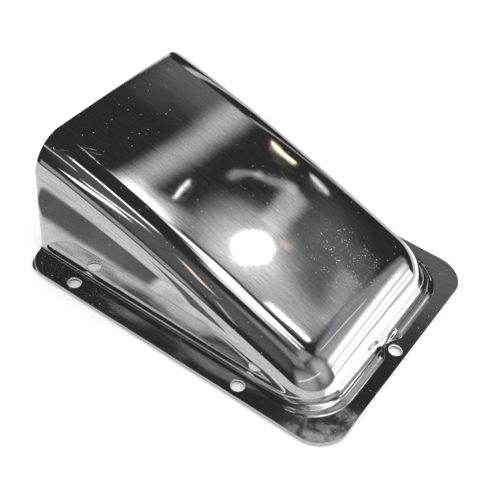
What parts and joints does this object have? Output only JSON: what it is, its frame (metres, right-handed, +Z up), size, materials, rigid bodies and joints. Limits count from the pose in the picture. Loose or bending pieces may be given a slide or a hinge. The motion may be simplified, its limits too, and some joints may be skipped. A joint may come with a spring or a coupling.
{
  "type": "cowl vent",
  "caption": "Low wedge-shaped cowl vent pressed from polished stainless sheet, open at its tall end and base, with a flat three-sided screw flange on a thin seal.",
  "frame": {"origin": "middle of the vent's whole length and width, on the underside of the flange seal", "axes": "+X from the open mouth to the closed nose, +Y across the width, +Z up from the deck that the vent is screwed to"},
  "size_m": [0.1422, 0.1118, 0.0534],
  "materials": {
    "polished_steel": "mirror polished stainless steel with faint brush lines along its length, fine scratches and small pits",
    "seal_rubber": "matt black closed-cell rubber sheet"
  },
  "bodies": {
    "root": {"hood_pressing": "polished_steel", "flange_seal": "seal_rubber"}
  },
  "joints": []
}
